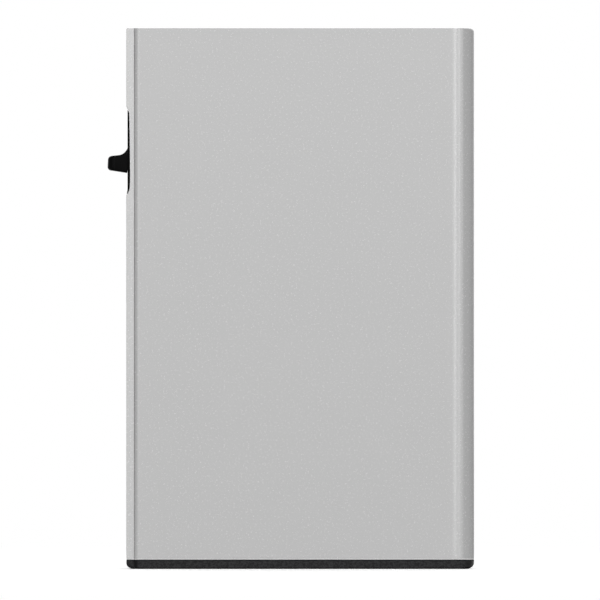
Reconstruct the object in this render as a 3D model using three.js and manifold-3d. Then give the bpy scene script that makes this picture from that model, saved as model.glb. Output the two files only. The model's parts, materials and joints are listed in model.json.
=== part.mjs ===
// Pop up card holder: an extruded sleeve round a stack of bank cards, with a button on its left side.
// The button draws a rod down the side, the rod rocks a lever, and the lever's steps fan the cards out.
// Millimetres, +Z up, front towards -Y, origin at the middle of the base.
import * as THREE from "three";
import { mergeVertices } from "three/addons/utils/BufferGeometryUtils.js";
import Module from "manifold-3d";

const wasm = await Module();
wasm.setup();

// Cards that the case is made round.
const card = { width: 53.98, height: 85.6, sideGap: 0.26, mouthMargin: 1.2 };
const cardCount = 5;

// Clearances shared by all pieces.
const fit = { slide: 0.1, seat: 0.05, pin: 0.06, run: 0.2, overrun: 1 };

// Aluminium sleeve.
const sleeve = {
  wall: 0.9,
  sideWall: 1.2,
  pocketDepth: 6.2,
  ledgeWidth: 1.35,
  ledgeDrop: 0.8,
  rollRadius: 1.1,
  edgeRadius: 0.25,
  mouthRadius: 0.7,
};

// Scalloped window in the sleeve's left side, with the insert that fills it.
const scallop = {
  bottom: 69.93,
  length: 16.42,
  lowerDepth: 0.57,
  bowDepth: 0.82,
  upperDepth: 0.52,
  lowerRun: 1.27,
  bowRun: 2.07,
  upperRun: 0.95,
};
const bezel = { sink: 0.24, lip: 0.7, edgeInset: 0.1 };

// Thumb button, measured from the sleeve's left face and from the underside of its tip.
const button = {
  rise: 4.42,
  reach: 3.54,
  height: 2.85,
  width: 5,
  tipRadius: 0.58,
  planRadius: 1.3,
  undersideDrop: 0.38,
  crownRise: 0.2,
  flareStart: 1.2,
  flareMiddle: 0.45,
  flareRise: 1.4,
  travel: 3.8,
};
const stem = { width: 2.2, height: 2.4, lift: 0.65, depth: 3.5 };

// Rod and spring in the channel beside the cards.
const channel = { width: 4.4, dividerThickness: 0.7, dividerSetback: 3, plugHeight: 2.5 };
const rod = {
  headDepth: 3.8,
  headMargin: 1.8,
  shaftWidth: 2.8,
  lowerWidth: 2.2,
  stemRadius: 0.85,
  footDepth: 4,
  footBelow: 1.5,
  webThickness: 1.4,
};
const spring = { wire: 0.4, meanRadius: 1.4, length: 14.4 };
const springCurls = 11;
const springSeat = { height: 1.6, bottom: 40 };
const stopPad = { thickness: 0.8, width: 3.2, depth: 3.8 };

// Card floor, mechanism bay under it and its cover.
const bay = { height: 10.73, floor: 1, backPlate: 0.5, cover: 0.5, endWall: 1 };
const cap = { plate: 1.67, land: 0.8, cornerRadius: 1.15 };

// Rubber foot pads, let in flush with the underside of the cap.
const footPad = { length: 7.4, width: 4, depth: 0.8, endInset: 2 };

// Rocking lever. Heights are measured from the pivot with the button up, the head's offset from mid pocket.
const lever = {
  pinOffset: 6.4,
  hubRadius: 2.2,
  armThickness: 2,
  endRadius: 1.4,
  longThickness: 2.6,
  longRoot: 1.8,
  longTip: 1.4,
  headOffset: 7.25,
  armDrop: 2.2,
  headWidth: 6,
  headBottom: 3.9,
  headTop: 6.1,
  tierRise: 1.9,
  noseRadius: 2.8,
  heelRadius: 0.8,
  windowLength: 5,
  windowRadius: 0.6,
  windowPitch: 6.6,
  windowStart: 5,
  sideGap: 0.15,
};
const leverWindows = 3;
const pivot = { pinRadius: 0.8, washerRadius: 2, washer: 0.4, chamfer: 0.12 };
const drivePin = { radius: 0.6 };

// Rail, leaf spring and grip strips that hold the cards.
const rail = { depth: 3.3 };
const leaf = { length: 42, thickness: 0.2, width: 3.6, bow: 0.9, bottom: 38 };
const groove = { depth: 0.9, endGap: 0.8 };
const grip = { width: 26, height: 8, base: 0.35, ridge: 0.2, ridgeHeight: 0.6, belowMouth: 5 };
const gripRidges = 6;

// Screws.
const coverScrew = { headRadius: 1, headHeight: 0.45, shankRadius: 0.5, length: 3.4, bossRadius: 1.5 };
const capScrew = { headRadius: 1.25, headHeight: 0.75, shankRadius: 0.6, length: 4, sink: 0.1 };
const capBoss = { width: 3.6, depth: 4.4, leftOffset: 4.3, rightOffset: 8.8, rightHeight: 5 };
const stiffener = { thickness: 0.8, pitch: 5.2, height: 6 };

// Stations across the case, from left to right.
const halfDepth = sleeve.pocketDepth / 2 + sleeve.wall;
const boreHalf = sleeve.pocketDepth / 2;
const ledgeHalf = halfDepth - sleeve.ledgeDrop;
const pocketWidth = card.width + 2 * card.sideGap;
const channelSpan = sleeve.sideWall + channel.width + channel.dividerThickness;
const caseWidth = channelSpan + pocketWidth + rail.depth + sleeve.wall;
const leftFace = -caseWidth / 2;
const rightFace = caseWidth / 2;
const channelLeft = leftFace + sleeve.sideWall;
const channelRight = channelLeft + channel.width;
const pocketLeft = channelRight + channel.dividerThickness;
const pocketRight = pocketLeft + pocketWidth;
const noseX = rightFace - halfDepth;
const boreStep = leftFace + sleeve.ledgeWidth + sleeve.wall;

// Heights, from the base up.
const landTop = cap.plate + cap.land;
const bayTop = landTop + bay.height;
const floorTop = bayTop + bay.floor;
const mouth = floorTop + card.height + card.mouthMargin;
const innerTop = mouth - channel.dividerSetback;

// Depths inside the mechanism bay, from front to back.
const frameHalf = boreHalf - fit.slide;
const bayFront = -frameHalf + bay.cover;
const bayBack = frameHalf - bay.backPlate;
const bayMiddle = (bayFront + bayBack) / 2;
const bayDepth = bayBack - bayFront;

// The driving line and the lever's swing.
const pinX = (channelLeft + channelRight) / 2;
const halfTravel = button.travel / 2;
const pivotX = pinX + lever.pinOffset;
const pivotZ = landTop + stopPad.thickness + fit.slide + rod.footBelow + halfTravel;
const pinZ = pivotZ + halfTravel;
const swing = 2 * Math.atan(halfTravel / lever.pinOffset);
const pocketMiddle = (pocketLeft + pocketRight) / 2;
const leverReach = pocketMiddle + lever.headOffset - pivotX;

// The button's place on the window.
const buttonZ = scallop.bottom + button.rise;
const bezelFace = leftFace + bezel.sink;
const stemBottom = buttonZ + stem.lift;
const stemTop = stemBottom + stem.height;
const slotBottom = stemBottom - button.travel - fit.run;
const slotTop = stemTop + fit.run;

// Finishes.
const anodised = { color: 0xc3c3c3, roughness: 0.42, metalness: 0.9 };
const glossBlack = { color: 0x0d0d0e, roughness: 0.18, metalness: 0 };
const mattBlack = { color: 0x2b2b2c, roughness: 0.75, metalness: 0 };
const greyAcetal = { color: 0x4a4c4f, roughness: 0.5, metalness: 0 };
const steel = { color: 0xb4b6b8, roughness: 0.3, metalness: 1 };
const rubberBlack = { color: 0x1c1c1d, roughness: 0.9, metalness: 0 };

// Helpers: outlines, prisms and turned pieces as solids.
const quarterTurn = Math.PI / 2;
const circleSteps = 24;

function at(x, y) {
  return new THREE.Vector2(x, y);
}

function arc(centre, radius, from, to, steps) {
  return Array.from({ length: steps + 1 }, (_, step) => {
    const angle = from + ((to - from) * step) / steps;
    return at(centre.x + radius * Math.cos(angle), centre.y + radius * Math.sin(angle));
  });
}

function mirrored(points) {
  return points.map((point) => at(point.x, -point.y)).reverse();
}

// Rectangle with one radius for each corner: low left, low right, high right, high left.
function roundedRectangle(left, right, low, high, radii) {
  const [a, b, c, d] = radii;
  return [
    ...arc(at(left + a, low + a), a, Math.PI, 3 * quarterTurn, 6),
    ...arc(at(right - b, low + b), b, 3 * quarterTurn, 4 * quarterTurn, 6),
    ...arc(at(right - c, high - c), c, 0, quarterTurn, 6),
    ...arc(at(left + d, high - d), d, quarterTurn, Math.PI, 6),
  ];
}

// Two circles joined by their outer tangents.
function link(start, startRadius, end, endRadius) {
  const along = Math.atan2(end.y - start.y, end.x - start.x);
  const open = Math.acos((startRadius - endRadius) / start.distanceTo(end));
  return [
    ...arc(end, endRadius, along - open, along + open, 12),
    ...arc(start, startRadius, along + open, along + 2 * Math.PI - open, 12),
  ];
}

function solid(geometry) {
  geometry.deleteAttribute("normal");
  geometry.deleteAttribute("uv");
  const merged = mergeVertices(geometry);
  const vertProperties = merged.getAttribute("position").array;
  const triVerts = Uint32Array.from(merged.index.array);
  return new wasm.Manifold(new wasm.Mesh({ numProp: 3, vertProperties, triVerts }));
}

function extruded(points, depth) {
  return new THREE.ExtrudeGeometry(new THREE.Shape(points), { depth, bevelEnabled: false });
}

// Outline in plan, carried up from one height to another.
function planPrism(points, low, high) {
  return solid(extruded(points, high - low).translate(0, 0, low));
}

// Outline seen from the front, carried from one depth to another.
function frontPrism(points, near, far) {
  return solid(extruded(points, far - near).rotateX(quarterTurn).translate(0, far, 0));
}

function block(left, right, near, far, low, high) {
  const box = new THREE.BoxGeometry(right - left, far - near, high - low);
  return solid(box.translate((left + right) / 2, (near + far) / 2, (low + high) / 2));
}

// Round bar along Y.
function crossBar(x, z, radius, near, far) {
  return frontPrism(arc(at(x, z), radius, 0, 2 * Math.PI, circleSteps).slice(1), near, far);
}

// Round bar along Z.
function uprightBar(x, y, radius, low, high) {
  return planPrism(arc(at(x, y), radius, 0, 2 * Math.PI, circleSteps).slice(1), low, high);
}

function joined(...solids) {
  return solids.reduce((sum, next) => sum.add(next));
}

function cut(body, ...tools) {
  return tools.reduce((left, tool) => left.subtract(tool), body);
}

function geometryOf(shape) {
  const { vertProperties, triVerts } = shape.getMesh();
  const geometry = new THREE.BufferGeometry();
  geometry.setAttribute("position", new THREE.BufferAttribute(Float32Array.from(vertProperties), 3));
  geometry.setIndex(Array.from(triVerts));
  geometry.computeVertexNormals();
  return geometry;
}

function piece(name, geometry, finish) {
  const mesh = new THREE.Mesh(geometry, new THREE.MeshStandardMaterial(finish));
  mesh.name = name;
  return mesh;
}

// Sleeve section: a narrow rail on the left, flat faces that roll up from it, a half round on the right.
function sleeveOutline() {
  const rollAngle = Math.acos(1 - sleeve.ledgeDrop / sleeve.rollRadius);
  const rollX = leftFace + sleeve.ledgeWidth + sleeve.rollRadius * Math.sin(rollAngle);
  const edge = at(leftFace + sleeve.edgeRadius, -ledgeHalf + sleeve.edgeRadius);
  const roll = at(rollX, -halfDepth + sleeve.rollRadius);
  const frontHalf = [
    ...arc(edge, sleeve.edgeRadius, Math.PI, 3 * quarterTurn, 3),
    ...arc(roll, sleeve.rollRadius, 3 * quarterTurn - rollAngle, 3 * quarterTurn, 6),
    ...arc(at(noseX, 0), halfDepth, 3 * quarterTurn, 4 * quarterTurn, 12),
  ];
  return [...frontHalf, ...mirrored(frontHalf).slice(1)];
}

// Hollow of the sleeve, drawn in by a gap for what slides inside it.
function boreOutline(gap) {
  const left = channelLeft + gap;
  const step = boreStep + gap;
  const railHalf = ledgeHalf - sleeve.wall - gap;
  const half = boreHalf - gap;
  const frontHalf = [
    at(left, -railHalf),
    at(step, -railHalf),
    at(step, -half),
    ...arc(at(noseX, 0), half, 3 * quarterTurn, 4 * quarterTurn, 12),
  ];
  return [...frontHalf, ...mirrored(frontHalf).slice(1)];
}

// Long shallow scallop in the left face, seen from the front and drawn in by a gap.
function scallopOutline(gap) {
  const low = scallop.bottom + gap;
  const high = scallop.bottom + scallop.length - gap;
  const outside = leftFace - fit.overrun;
  const lower = at(leftFace + scallop.lowerDepth - gap, low + scallop.lowerRun);
  const upper = at(leftFace + scallop.upperDepth - gap, high - scallop.upperRun);
  const shape = new THREE.Shape();
  shape.moveTo(outside, low);
  shape.lineTo(leftFace, low);
  shape.quadraticCurveTo(lower.x, (low + lower.y) / 2, lower.x, lower.y);
  shape.quadraticCurveTo(leftFace + scallop.bowDepth - gap, lower.y + scallop.bowRun, upper.x, upper.y);
  shape.quadraticCurveTo(upper.x, (high + upper.y) / 2, leftFace, high);
  shape.lineTo(outside, high);
  return shape.getPoints(8);
}

// Collar of the insert where it passes through the sleeve's wall.
function bezelCollar(gap) {
  const half = stem.width / 2 + fit.run + bezel.lip + gap;
  const low = slotBottom - bezel.lip - gap;
  const high = slotTop + bezel.lip + gap;
  return block(bezelFace + bezel.edgeInset, channelLeft + gap, -half, half, low, high);
}

function caseTube() {
  const { edgeRadius, mouthRadius } = sleeve;
  const low = cap.plate - fit.overrun;
  const elevation = roundedRectangle(leftFace, rightFace, low, mouth, [
    edgeRadius,
    edgeRadius,
    mouthRadius,
    edgeRadius,
  ]);
  const tube = planPrism(sleeveOutline(), cap.plate, mouth)
    .intersect(frontPrism(elevation, -halfDepth - fit.overrun, halfDepth + fit.overrun));
  return cut(
    tube,
    planPrism(boreOutline(0), cap.plate - fit.overrun, mouth + fit.overrun),
    frontPrism(scallopOutline(0), -halfDepth, halfDepth),
    bezelCollar(fit.seat),
  );
}

function slotBezel() {
  const half = ledgeHalf - bezel.edgeInset;
  const filler = frontPrism(scallopOutline(fit.seat), -half, half)
    .intersect(block(bezelFace, channelLeft, -half, half, scallop.bottom, scallop.bottom + scallop.length));
  const slotHalf = stem.width / 2 + fit.run;
  const slot = block(leftFace, channelLeft + fit.overrun, -slotHalf, slotHalf, slotBottom, slotTop);
  return cut(joined(filler, bezelCollar(0)), slot);
}

// Bottom cap: a plate with the sleeve's outline and a low land that plugs the bore.
function bottomCap() {
  const radii = [cap.cornerRadius, cap.cornerRadius, 0, 0].map((radius) => radius + fit.seat);
  const elevation = roundedRectangle(leftFace, rightFace, 0, cap.plate + fit.overrun, radii);
  const plate = planPrism(sleeveOutline(), 0, cap.plate)
    .intersect(frontPrism(elevation, -halfDepth - fit.overrun, halfDepth + fit.overrun));
  const land = planPrism(boreOutline(fit.slide), cap.plate - fit.seat, landTop);
  return cut(
    joined(plate, land),
    ...capScrewPlaces().map((x) => capScrewHole(x)),
    ...footPadPlaces().map((x) =>
      planPrism(footPadOutline(x, fit.seat), -fit.overrun, footPad.depth + fit.seat),
    ),
  );
}

function footPadPlaces() {
  const inset = footPad.endInset + footPad.length / 2;
  return [leftFace + inset, rightFace - inset];
}

// Foot pad in plan: round at both ends, drawn out by a gap for its pocket.
function footPadOutline(x, gap) {
  const radius = footPad.width / 2;
  const reach = footPad.length / 2 - radius;
  return link(at(x - reach, 0), radius + gap, at(x + reach, 0), radius + gap);
}

function capScrewPlaces() {
  return [pocketLeft + capBoss.leftOffset + capBoss.width / 2, pocketRight - capBoss.rightOffset];
}

// Countersunk screw along +Z with the flat of its head at the start.
function screwProfile(screw, gap) {
  const { headRadius, headHeight, shankRadius, length } = screw;
  const tip = shankRadius / 2;
  return [
    at(0, 0),
    at(headRadius + gap, 0),
    at(shankRadius + gap, headHeight + gap),
    at(shankRadius + gap, length - tip + gap),
    at(tip + gap, length + gap),
    at(0, length + gap),
  ];
}

function screwGeometry(screw) {
  return new THREE.LatheGeometry(screwProfile(screw, 0), circleSteps).rotateX(quarterTurn);
}

function screwRoom(screw) {
  const countersink = new THREE.LatheGeometry(screwProfile(screw, fit.seat), circleSteps);
  return countersink.rotateX(quarterTurn);
}

function capScrewHole(x) {
  const room = solid(screwRoom(capScrew).translate(x, 0, capScrew.sink));
  const mouthBar = uprightBar(x, 0, capScrew.headRadius + fit.seat, -fit.overrun, capScrew.sink + fit.seat);
  return joined(room, mouthBar);
}

// Places of the cover's screws, clear of the lever's sweep.
function coverScrewPlaces() {
  const inset = coverScrew.bossRadius - fit.run;
  return [
    at(pocketLeft + inset, bayTop - inset),
    at(headRoomRight() + coverScrew.bossRadius, landTop + coverScrew.bossRadius),
    at(pocketRight - bay.endWall - inset, bayTop - inset),
  ];
}

function coverScrewHole(place) {
  const room = screwRoom(coverScrew).rotateX(-quarterTurn);
  return solid(room.translate(place.x, -frameHalf, place.y));
}

// Height of the underside of the long arm at a distance from the pivot, with the button up.
function armUnderside(distance) {
  const fall = lever.armDrop + lever.longTip - lever.longRoot;
  return pivotZ - lever.longRoot - (fall * distance) / leverReach;
}

// Where the floor has to end so that the lifted arm passes it.
function headRoomLeft() {
  const slope = swing - Math.atan2(lever.armDrop, leverReach);
  const rise = bayTop - fit.run - pivotZ - lever.longRoot / Math.cos(slope);
  return pivotX + rise / Math.tan(slope) - fit.run;
}

function headRoomRight() {
  const corner = leverReach + lever.headWidth / 2;
  return pivotX + Math.hypot(corner, lever.headBottom) + fit.run;
}

// Chassis: back plate, card floor with the opening for the lever's head, divider, spring seat and bosses.
function innerFrame() {
  const frameLeft = boreStep + fit.slide;
  const plate = block(frameLeft, pocketRight, bayBack, frameHalf, landTop, floorTop);
  const floorLeft = block(channelRight, headRoomLeft(), bayFront, bayBack, bayTop, floorTop);
  const floorRight = block(headRoomRight(), pocketRight, bayFront, bayBack, bayTop, floorTop);
  const divider = block(channelRight, pocketLeft, -frameHalf, frameHalf, bayTop, innerTop);
  const endWall = block(pocketRight - bay.endWall, pocketRight, bayFront, bayBack, landTop, floorTop);
  const plug = planPrism(boreOutline(fit.slide), innerTop - channel.plugHeight, innerTop)
    .intersect(block(leftFace, pocketLeft, -frameHalf, frameHalf, landTop, mouth));
  const chassis = joined(
    plate,
    floorLeft,
    floorRight,
    divider,
    endWall,
    plug,
    springLedge(),
    ...capBosses(),
    ...stiffeners(),
    ...coverScrewPlaces().map((place) =>
      crossBar(place.x, place.y, coverScrew.bossRadius, bayFront, bayBack),
    ),
  );
  return cut(
    chassis,
    crossBar(pivotX, pivotZ, pivot.pinRadius + fit.pin, 0, frameHalf + fit.overrun),
    ...capScrewPlaces().map((x) => capScrewHole(x)),
    ...coverScrewPlaces().map((place) => coverScrewHole(place)),
  );
}

// Ledge across the channel with a slot for the rod's stem, open to the front.
function springLedge() {
  const half = rod.footDepth / 2;
  const slotHalf = rod.stemRadius + fit.run;
  const top = springSeat.bottom + springSeat.height;
  const ledge = block(channelLeft + fit.run, channelRight + fit.seat, -half, half, springSeat.bottom, top);
  const low = springSeat.bottom - fit.overrun;
  return cut(
    ledge,
    uprightBar(pinX, bayMiddle, slotHalf, low, top + fit.overrun),
    block(pinX - slotHalf, pinX + slotHalf, -half - fit.overrun, bayMiddle, low, top + fit.overrun),
  );
}

function capBosses() {
  const [leftScrew, rightScrew] = capScrewPlaces();
  const half = capBoss.width / 2;
  const leftTop = armUnderside(leftScrew + half - pivotX) - fit.run;
  return [
    block(leftScrew - half, leftScrew + half, -capBoss.depth / 2, bayBack, landTop, leftTop),
    block(rightScrew - half, rightScrew + half, bayFront, bayBack, landTop, landTop + capBoss.rightHeight),
  ];
}

// Stiffening ribs of the back plate, right of the lever's head.
function stiffeners() {
  const first = headRoomRight() + stiffener.pitch;
  const room = pocketRight - bay.endWall - first;
  const count = Math.max(Math.ceil(room / stiffener.pitch), 1);
  return Array.from({ length: count }, (_, index) => {
    const left = first + index * (room / count);
    return block(left, left + stiffener.thickness, bayMiddle, bayBack, bayTop - stiffener.height, bayTop);
  });
}

// Cover of the bay: a flat plate with countersunk holes and a bore for the pivot pin.
function leverCover() {
  const left = boreStep + fit.slide;
  const plate = block(left, pocketRight, -frameHalf, bayFront, landTop, floorTop);
  const dividerNotch = block(channelRight - fit.seat, pocketLeft + fit.seat, -boreHalf, bayFront, bayTop, mouth);
  return cut(
    plate,
    dividerNotch,
    crossBar(pivotX, pivotZ, pivot.pinRadius + fit.pin, -boreHalf, 0),
    ...coverScrewPlaces().map((place) => coverScrewHole(place)),
  );
}

// Rail in the half round, with a groove for the leaf spring.
function edgeRail() {
  const body = planPrism(boreOutline(fit.slide), landTop, innerTop)
    .intersect(block(pocketRight, rightFace, -boreHalf, boreHalf, landTop, innerTop));
  const half = leaf.width / 2 + fit.slide;
  const low = leaf.bottom - groove.endGap;
  const high = leaf.bottom + leaf.length + groove.endGap;
  return cut(body, block(pocketRight - fit.overrun, pocketRight + groove.depth, -half, half, low, high));
}

// Bowed leaf: its ends lie in the groove and its middle stands into the card pocket.
function cardSpring() {
  const chord = leaf.length / 2;
  const radius = (chord * chord + leaf.bow * leaf.bow) / (2 * leaf.bow);
  const reachAngle = Math.asin(chord / radius);
  const heelX = pocketRight + groove.depth - fit.seat - leaf.thickness;
  const centre = at(heelX - leaf.bow + radius, leaf.bottom + chord);
  const outer = arc(centre, radius, Math.PI - reachAngle, Math.PI + reachAngle, 16);
  const inner = arc(centre, radius - leaf.thickness, Math.PI + reachAngle, Math.PI - reachAngle, 16);
  return frontPrism([...outer, ...inner], -leaf.width / 2, leaf.width / 2);
}

// Ribbed rubber strip on the wall inside the mouth, modelled with its back at zero depth.
function gripStrip() {
  const half = grip.width / 2;
  const pitch = grip.height / gripRidges;
  const base = block(-half, half, 0, grip.base, 0, grip.height);
  const ridges = Array.from({ length: gripRidges }, (_, index) => {
    const low = (index + 0.5) * pitch - grip.ridgeHeight / 2;
    return block(-half, half, grip.base - fit.seat, grip.base + grip.ridge, low, low + grip.ridgeHeight);
  });
  return joined(base, ...ridges);
}

// Thumb button: a shelf with rounded tip and hollowed upper root, and the stem that enters the rod.
function slideButton() {
  const root = bezel.sink - fit.slide;
  const { reach, tipRadius, height, crownRise, flareStart, flareMiddle, flareRise } = button;
  const outline = new THREE.Shape([
    at(root, -button.undersideDrop),
    ...arc(at(-reach + tipRadius, tipRadius), tipRadius, 3 * quarterTurn, 2 * quarterTurn, 5),
    ...arc(at(-reach + tipRadius, height - tipRadius), tipRadius, 2 * quarterTurn, quarterTurn, 5),
  ]);
  outline.lineTo(-flareStart, height + crownRise);
  outline.quadraticCurveTo(-flareMiddle, height + crownRise, root, height + crownRise + flareRise);
  const half = button.width / 2;
  const low = -button.undersideDrop - fit.overrun;
  const high = height + crownRise + flareRise + fit.overrun;
  const { planRadius } = button;
  const plan = roundedRectangle(-reach, root, -half, half, [planRadius, fit.seat, fit.seat, planRadius]);
  const shelf = frontPrism(outline.getPoints(6), -half, half).intersect(planPrism(plan, low, high));
  const stemHalf = stem.width / 2;
  const peg = block(root - fit.overrun, stem.depth, -stemHalf, stemHalf, stem.lift, stem.lift + stem.height);
  return joined(shelf, peg);
}

// Push rod: head with the socket for the button, shaft, round stem inside the spring, lower shaft and fork.
function pushRod() {
  const guideHalf = channel.width / 2 - fit.run;
  const headDepth = rod.headDepth / 2;
  const headLow = stemBottom - rod.headMargin;
  const stemTopZ = springSeat.bottom + springSeat.height + spring.length;
  const seatUnder = springSeat.bottom - fit.slide;
  const webLow = pinZ + lever.endRadius + 2 * guideHalf * Math.tan(swing / 2);
  const footTop = webLow + rod.webThickness;
  const shaftHalf = rod.shaftWidth / 2;
  const lowerHalf = rod.lowerWidth / 2;
  const footDepth = rod.footDepth / 2;
  const body = joined(
    block(pinX - guideHalf, pinX + guideHalf, -headDepth, headDepth, headLow, stemTop + rod.headMargin),
    block(pinX - shaftHalf, pinX + shaftHalf, -shaftHalf, shaftHalf, stemTopZ, headLow + fit.seat),
    uprightBar(pinX, bayMiddle, rod.stemRadius, seatUnder - fit.seat, stemTopZ + fit.seat),
    block(pinX - lowerHalf, pinX + lowerHalf, -lowerHalf, lowerHalf, footTop - fit.seat, seatUnder),
    block(pinX - guideHalf, pinX + guideHalf, -footDepth, footDepth, pinZ - rod.footBelow, footTop),
  );
  const socketHalf = stem.width / 2 + fit.seat;
  const socketEnd = leftFace + stem.depth + fit.seat;
  const forkHalf = lever.armThickness / 2 + fit.run;
  return cut(
    body,
    block(leftFace, socketEnd, -socketHalf, socketHalf, stemBottom - fit.seat, stemTop + fit.seat),
    block(leftFace, pivotX, -forkHalf, forkHalf, 0, webLow),
    crossBar(pinX, pinZ, drivePin.radius + fit.pin, -halfDepth, halfDepth),
  );
}

// Smooth path of the spring wire: a helix whose ends run straight for one wire's width.
class SpringPath extends THREE.Curve {
  getPoint(share) {
    const turns = springCurls * 2 * Math.PI;
    const curl = spring.meanRadius * turns;
    const straight = spring.wire / (curl + 2 * spring.wire);
    const turned = THREE.MathUtils.clamp((share - straight) / (1 - 2 * straight), 0, 1);
    const beyond = (share < straight ? share - straight : Math.max(share - 1 + straight, 0)) / straight;
    const angle = turned * turns;
    const { wire, meanRadius, length } = spring;
    return new THREE.Vector3(
      meanRadius * Math.cos(angle) - beyond * wire * Math.sin(angle),
      meanRadius * Math.sin(angle) + beyond * wire * Math.cos(angle),
      wire / 2 + turned * (length - wire),
    );
  }
}

function returnSpring() {
  const section = new THREE.Shape(arc(at(0, 0), spring.wire / 2, 0, 2 * Math.PI, 5).slice(1));
  const steps = springCurls * 8;
  return new THREE.ExtrudeGeometry(section, { steps, extrudePath: new SpringPath(), bevelEnabled: false });
}

// Least gap between neighbouring curls of the spring, from points on the path.
function springGap() {
  const points = new SpringPath().getPoints(springCurls * 24);
  const apart = points.flatMap((point, index) =>
    points.slice(index + 12).map((other) => point.distanceTo(other)),
  );
  return Math.min(...apart) - spring.wire;
}

// One step of the lever's head, seen from the front, with its top at a height above the pivot.
function stepOutline(top) {
  const left = leverReach - lever.headWidth / 2;
  const right = leverReach + lever.headWidth / 2;
  const room = top + lever.headBottom;
  const nose = Math.min(lever.noseRadius, room - lever.heelRadius - fit.seat);
  return roundedRectangle(left, right, -lever.headBottom, top, [
    lever.heelRadius,
    lever.heelRadius,
    nose,
    lever.heelRadius,
  ]);
}

// Rocking lever, modelled round its pivot.
function ejectorLever() {
  const washerRoom = pivot.washer + 2 * fit.slide;
  const hub = crossBar(0, 0, lever.hubRadius, bayFront + washerRoom, bayBack - washerRoom);
  const nearPin = lever.pinOffset;
  const farPin = Math.hypot(lever.pinOffset, halfTravel);
  const outward = at(-Math.cos(swing / 2), Math.sin(swing / 2));
  const shortHalf = lever.armThickness / 2;
  const slotMiddle = outward.clone().multiplyScalar((nearPin + farPin) / 2);
  const shortArm = frontPrism(
    link(at(0, 0), lever.hubRadius, slotMiddle, lever.endRadius),
    bayMiddle - shortHalf,
    bayMiddle + shortHalf,
  );
  const slot = frontPrism(
    link(
      outward.clone().multiplyScalar(nearPin),
      drivePin.radius + fit.pin,
      outward.clone().multiplyScalar(farPin),
      drivePin.radius + fit.pin,
    ),
    bayFront,
    bayBack,
  );
  const longHalf = lever.longThickness / 2;
  const armEnd = at(leverReach, -lever.armDrop);
  const longArm = frontPrism(
    link(at(0, 0), lever.longRoot, armEnd, lever.longTip),
    bayMiddle - longHalf,
    bayMiddle + longHalf,
  );
  const stepWidth = (bayDepth - 2 * lever.sideGap) / cardCount;
  const steps = Array.from({ length: cardCount }, (_, index) => {
    const near = bayFront + lever.sideGap + index * stepWidth;
    return frontPrism(stepOutline(lever.headTop - index * lever.tierRise), near, near + stepWidth);
  });
  return cut(
    joined(hub, shortArm, longArm, ...steps),
    slot,
    crossBar(0, 0, pivot.pinRadius + fit.pin, bayFront, bayBack),
    ...armWindows(armEnd),
  );
}

// Round-ended windows that lighten the long arm.
function armWindows(armEnd) {
  const along = armEnd.clone().normalize();
  return Array.from({ length: leverWindows }, (_, index) => {
    const start = lever.windowStart + index * lever.windowPitch;
    const end = start + lever.windowLength;
    return frontPrism(
      link(
        along.clone().multiplyScalar(start),
        lever.windowRadius,
        along.clone().multiplyScalar(end),
        lever.windowRadius,
      ),
      bayFront,
      bayBack,
    );
  });
}

// Plain pin with chamfered ends, centred on its middle and lying along Y.
function pinGeometry(radius, length) {
  const half = length / 2;
  const nose = radius - pivot.chamfer;
  return new THREE.LatheGeometry(
    [
      at(0, -half),
      at(nose, -half),
      at(radius, -half + pivot.chamfer),
      at(radius, half - pivot.chamfer),
      at(nose, half),
      at(0, half),
    ],
    circleSteps,
  );
}

function washerGeometry() {
  const bore = pivot.pinRadius + fit.pin;
  const half = pivot.washer / 2;
  return new THREE.LatheGeometry(
    [at(bore, -half), at(pivot.washerRadius, -half), at(pivot.washerRadius, half), at(bore, half), at(bore, -half)],
    circleSteps,
  );
}

// Fixed pieces.
function caseGroup() {
  const group = new THREE.Group();
  group.add(
    piece("case_tube", geometryOf(caseTube()), anodised),
    piece("bottom_cap", geometryOf(bottomCap()), mattBlack),
    piece("slot_bezel", geometryOf(slotBezel()), mattBlack),
    piece("inner_frame", geometryOf(innerFrame()), mattBlack),
    piece("lever_cover", geometryOf(leverCover()), steel),
    piece("edge_rail", geometryOf(edgeRail()), mattBlack),
    piece("card_spring", geometryOf(cardSpring()), steel),
    piece("stop_pad", geometryOf(stopPadBlock()), rubberBlack),
    ...footPads(),
    ...gripStrips(),
    ...caseScrews(),
    ...pivotPieces(),
  );
  return group;
}

function stopPadBlock() {
  const half = stopPad.width / 2;
  const depth = stopPad.depth / 2;
  return block(pinX - half, pinX + half, -depth, depth, landTop, landTop + stopPad.thickness);
}

function footPads() {
  const names = ["foot_pad_left", "foot_pad_right"];
  return footPadPlaces().map((x, index) => {
    const pad = planPrism(footPadOutline(x, 0), 0, footPad.depth);
    return piece(names[index], geometryOf(pad), rubberBlack);
  });
}

function gripStrips() {
  const front = piece("grip_strip_front", geometryOf(gripStrip()), rubberBlack);
  const back = piece("grip_strip_back", geometryOf(gripStrip()), rubberBlack);
  const low = mouth - grip.belowMouth - grip.height;
  front.position.set(pocketMiddle, -boreHalf, low);
  back.position.set(pocketMiddle, boreHalf, low);
  back.rotation.z = Math.PI;
  return [front, back];
}

function caseScrews() {
  const [left, right] = capScrewPlaces();
  const capScrews = [
    ["cap_screw_left", left],
    ["cap_screw_right", right],
  ].map(([name, x]) => {
    const screw = piece(name, screwGeometry(capScrew), steel);
    screw.position.set(x, 0, capScrew.sink);
    return screw;
  });
  const names = ["cover_screw_left", "cover_screw_middle", "cover_screw_right"];
  const coverScrews = coverScrewPlaces().map((place, index) => {
    const screw = piece(names[index], screwGeometry(coverScrew), steel);
    screw.position.set(place.x, -frameHalf, place.y);
    screw.rotation.x = -quarterTurn;
    return screw;
  });
  return [...capScrews, ...coverScrews];
}

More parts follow.
